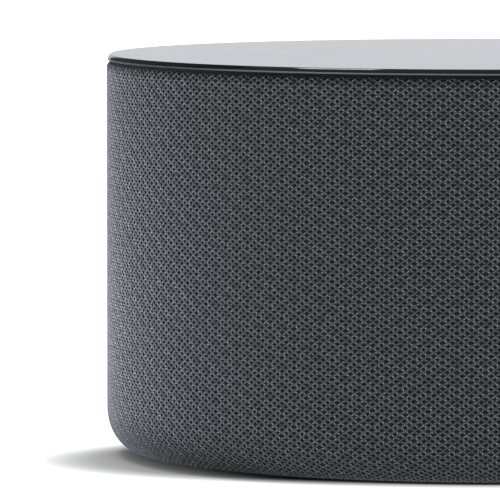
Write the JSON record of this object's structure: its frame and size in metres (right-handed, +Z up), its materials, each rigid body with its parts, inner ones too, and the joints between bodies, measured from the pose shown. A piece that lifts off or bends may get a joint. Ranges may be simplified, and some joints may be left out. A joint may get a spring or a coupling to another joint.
{
  "type": "smart speaker",
  "caption": "Round puck-shaped smart speaker with a knit fabric sleeve, gloss top plate, down-firing driver, side passive radiators and a rear power inlet.",
  "frame": {"origin": "middle of the footprint, on the surface that the speaker stands on", "axes": "+Z up through the top plate; -Y is the front; +Y is the rear, with the power inlet; +X is the right side seen from the front"},
  "size_m": [0.11, 0.11, 0.0587],
  "materials": {
    "knit_fabric": "open tubular knit, dark grey, dull",
    "gloss_black": "high gloss",
    "trim": "gloss dark trim line",
    "black_plastic": "fine moulded texture",
    "grey_plastic": "fine moulded texture",
    "white_plastic": "translucent white moulding",
    "rubber": "dull",
    "foam": "closed-cell foam",
    "circuit_board": "solder mask on glass-epoxy board",
    "steel": "bright plated",
    "aluminium": "satin",
    "nickel": "nickel-plated magnet",
    "copper": "enamelled copper winding",
    "brass": "bright",
    "cone_paper": "pressed black paper",
    "spider_cloth": "varnished cotton",
    "lead_jacket": "soft black jacket"
  },
  "bodies": {
    "housing": {"fabric_sleeve": "knit_fabric", "top_plate": "gloss_black", "trim_ring": "trim", "grille_frame": "black_plastic", "base_plate": "black_plastic", "top_carrier": "black_plastic", "driver_basket": "black_plastic", "deflector": "black_plastic", "port_panel": "black_plastic", "dc_jack": "black_plastic", "radiator_frame_1": "black_plastic", "radiator_frame_2": "black_plastic", "chamber_cup": "grey_plastic", "chamber_lid": "grey_plastic", "amp_inductor": "grey_plastic", "switch_body": "grey_plastic", "light_guide": "white_plastic", "status_leds": "white_plastic", "flex_socket": "white_plastic", "power_socket": "white_plastic", "foot_ring": "rubber", "driver_surround": "rubber", "radiator_surround_1": "rubber", "radiator_surround_2": "rubber", "chamber_gasket": "foam", "touch_board": "circuit_board", "mic_board": "circuit_board", "main_board": "circuit_board", "jack_board": "circuit_board", "base_screw_1": "steel", "base_screw_2": "steel", "base_screw_3": "steel", "base_screw_4": "steel", "soc_shield": "steel", "reset_switch": "steel", "motor_yoke": "steel", "pole_plate": "steel", "microphone_1": "steel", "microphone_2": "steel", "microphone_3": "steel", "microphone_4": "steel", "heat_spreader": "aluminium", "capacitor_1": "aluminium", "capacitor_2": "aluminium", "motor_magnet": "nickel", "touch_flex": "copper", "antenna": "brass", "jack_pin": "brass", "spider": "spider_cloth", "power_lead": "lead_jacket", "speaker_lead": "lead_jacket"},
    "driver": {"speaker_cone": "cone_paper", "dust_cap": "cone_paper", "voice_coil": "copper"},
    "radiator_right": {"radiator_disc_1": "aluminium"},
    "radiator_left": {"radiator_disc_2": "aluminium"},
    "mute_slider": {"mute_switch": "grey_plastic"},
    "reset_key": {"reset_button": "grey_plastic"}
  },
  "joints": [
    {"name": "driver_excursion", "type": "slide", "parent": "housing", "child": "driver", "axis": [0, 0, 1], "range_m": [-0.0018, 0.0018], "stiffness_N_per_m": 800, "deforming": ["driver_surround", "spider"]},
    {"name": "radiator_right_excursion", "type": "slide", "parent": "housing", "child": "radiator_right", "axis": [1, 0, 0], "range_m": [-0.0015, 0.0015], "stiffness_N_per_m": 400, "deforming": ["radiator_surround_1"]},
    {"name": "radiator_left_excursion", "type": "slide", "parent": "housing", "child": "radiator_left", "axis": [-1, 0, 0], "range_m": [-0.0015, 0.0015], "stiffness_N_per_m": 400, "deforming": ["radiator_surround_2"]},
    {"name": "mute_slide", "type": "slide", "parent": "housing", "child": "mute_slider", "axis": [1, 0, 0], "range_m": [0, 0.0024]},
    {"name": "reset_press", "type": "slide", "parent": "housing", "child": "reset_key", "axis": [0, 0, 1], "range_m": [0, 0.0005], "stiffness_N_per_m": 150}
  ]
}
